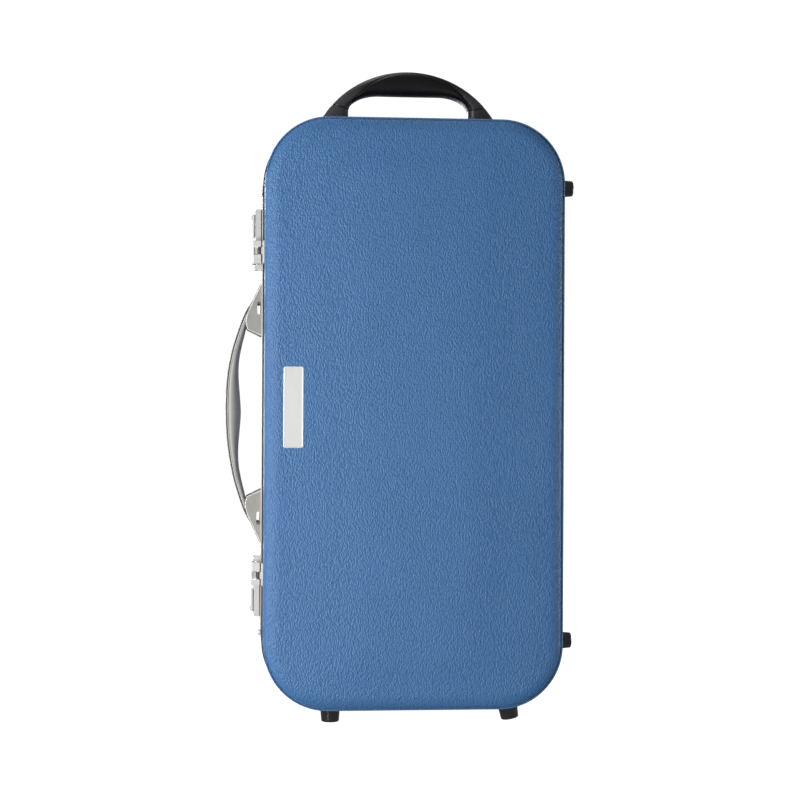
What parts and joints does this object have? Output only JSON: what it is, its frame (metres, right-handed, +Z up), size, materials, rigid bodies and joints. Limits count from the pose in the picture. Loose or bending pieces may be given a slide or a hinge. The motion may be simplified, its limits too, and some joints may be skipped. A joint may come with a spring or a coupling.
{
  "type": "bassoon case",
  "caption": "Hard case for a dismantled bassoon: hinged padded lid, snap latches, lifting side handle, fixed end handle, rubber feet and a plush insert with fitted bays.",
  "frame": {"origin": "on the floor, under the middle of the bounding box", "axes": "+Z up along the case, -Y out of the lid towards the viewer, -X out of the wall with the latches and the side handle, +X out of the hinge side"},
  "size_m": [0.3832, 0.159, 0.7208],
  "materials": {
    "leatherette": "grained, satin",
    "shell_board": "raw plywood",
    "rim_metal": "satin",
    "plush": "short plush",
    "black_rubber": "satin",
    "feet_plastic": "glossy",
    "strip_metal": "brushed",
    "latch_metal": "nickel plated",
    "bracket_metal": "satin",
    "steel": "plain",
    "grip_plastic": "matte",
    "strap_plastic": "ribbed",
    "handle_black": "glossy",
    "handle_pad": "satin",
    "plate_metal": "satin"
  },
  "bodies": {
    "back": {"back_shell": "shell_board", "back_side_band": "leatherette", "back_rear_panel": "leatherette", "back_rim": "rim_metal", "parting_seal": "black_rubber", "foam_insert": "plush", "lock_strip": "strip_metal", "strip_backing": "black_rubber", "strip_end_cap": "black_rubber", "strip_end_stud": "strip_metal", "latch_upper_body": "latch_metal", "latch_lower_body": "latch_metal", "latch_upper_spring": "steel", "latch_lower_spring": "steel", "latch_rivets": "latch_metal", "side_handle_bracket_upper": "bracket_metal", "side_handle_bracket_lower": "bracket_metal", "side_handle_bracket_rivets": "latch_metal", "top_handle_frame": "handle_black", "top_handle_pad": "handle_pad", "top_handle_plates": "plate_metal", "top_handle_screws": "latch_metal", "back_hinge_leaf_upper": "latch_metal", "back_hinge_leaf_middle": "latch_metal", "back_hinge_leaf_lower": "latch_metal", "hinge_pins": "steel", "back_hinge_rivets": "latch_metal", "back_feet": "feet_plastic", "back_foot_screws": "latch_metal"},
    "lid": {"lid_shell": "shell_board", "lid_side_band": "leatherette", "lid_front_panel": "leatherette", "label_plate": "plate_metal", "lid_rim": "rim_metal", "lid_padding": "plush", "latch_upper_hinge_plate": "latch_metal", "latch_lower_hinge_plate": "latch_metal", "hasp_pins": "steel", "hasp_springs": "steel", "hinge_plate_rivets": "latch_metal", "lid_hinge_leaf_upper": "latch_metal", "lid_hinge_leaf_middle": "latch_metal", "lid_hinge_leaf_lower": "latch_metal", "lid_hinge_rivets": "latch_metal", "lid_feet": "feet_plastic", "lid_foot_screws": "latch_metal"},
    "slider_upper": {"latch_upper_slider": "latch_metal"},
    "slider_lower": {"latch_lower_slider": "latch_metal"},
    "hasp_upper": {"latch_upper_hasp": "latch_metal"},
    "hasp_lower": {"latch_lower_hasp": "latch_metal"},
    "grip": {"side_handle_grip": "grip_plastic", "side_handle_strap": "strap_plastic", "side_handle_knuckle_pins": "steel"},
    "link_upper": {"side_handle_link_upper": "grip_plastic", "side_handle_pin_upper": "steel"},
    "link_lower": {"side_handle_link_lower": "grip_plastic", "side_handle_pin_lower": "steel"}
  },
  "joints": [
    {"name": "lid_swing", "type": "hinge", "parent": "back", "child": "lid", "pos_m": [0.18176, -0.0125, 0.3385], "axis": [0, 0, 1], "range_deg": [0, 100]},
    {"name": "latch_upper_slide", "type": "slide", "parent": "back", "child": "slider_upper", "axis": [0, 0, 1], "range_m": [0, 0.005], "stiffness_N_per_m": 200, "springref_m": -0.002, "deforming": ["latch_upper_spring"]},
    {"name": "hasp_upper_swing", "type": "hinge", "parent": "lid", "child": "hasp_upper", "pos_m": [-0.15524, -0.0185, 0.51665], "axis": [0, 0, 1], "range_deg": [0, 75]},
    {"name": "latch_lower_slide", "type": "slide", "parent": "back", "child": "slider_lower", "axis": [0, 0, -1], "range_m": [0, 0.005], "stiffness_N_per_m": 200, "springref_m": -0.002, "deforming": ["latch_lower_spring"]},
    {"name": "hasp_lower_swing", "type": "hinge", "parent": "lid", "child": "hasp_lower", "pos_m": [-0.15524, -0.0185, 0.16035], "axis": [0, 0, 1], "range_deg": [0, 75]},
    {"name": "side_handle_lift", "type": "slide", "parent": "back", "child": "grip", "axis": [-1, 0, 0], "range_m": [0, 0.0189]},
    {"name": "side_handle_link_upper_turn", "type": "hinge", "parent": "grip", "child": "link_upper", "pos_m": [-0.18167, 0.0047, 0.3875], "axis": [0, 1, 0], "range_deg": [0, 15.59]},
    {"name": "side_handle_link_lower_turn", "type": "hinge", "parent": "grip", "child": "link_lower", "pos_m": [-0.18167, 0.0047, 0.2895], "axis": [0, -1, 0], "range_deg": [0, 15.59]}
  ],
  "couplings": [
    {"joint": "side_handle_link_upper_turn", "follows": "side_handle_lift", "rad_per_m": 14.349},
    {"joint": "side_handle_link_lower_turn", "follows": "side_handle_lift", "rad_per_m": 14.349}
  ]
}
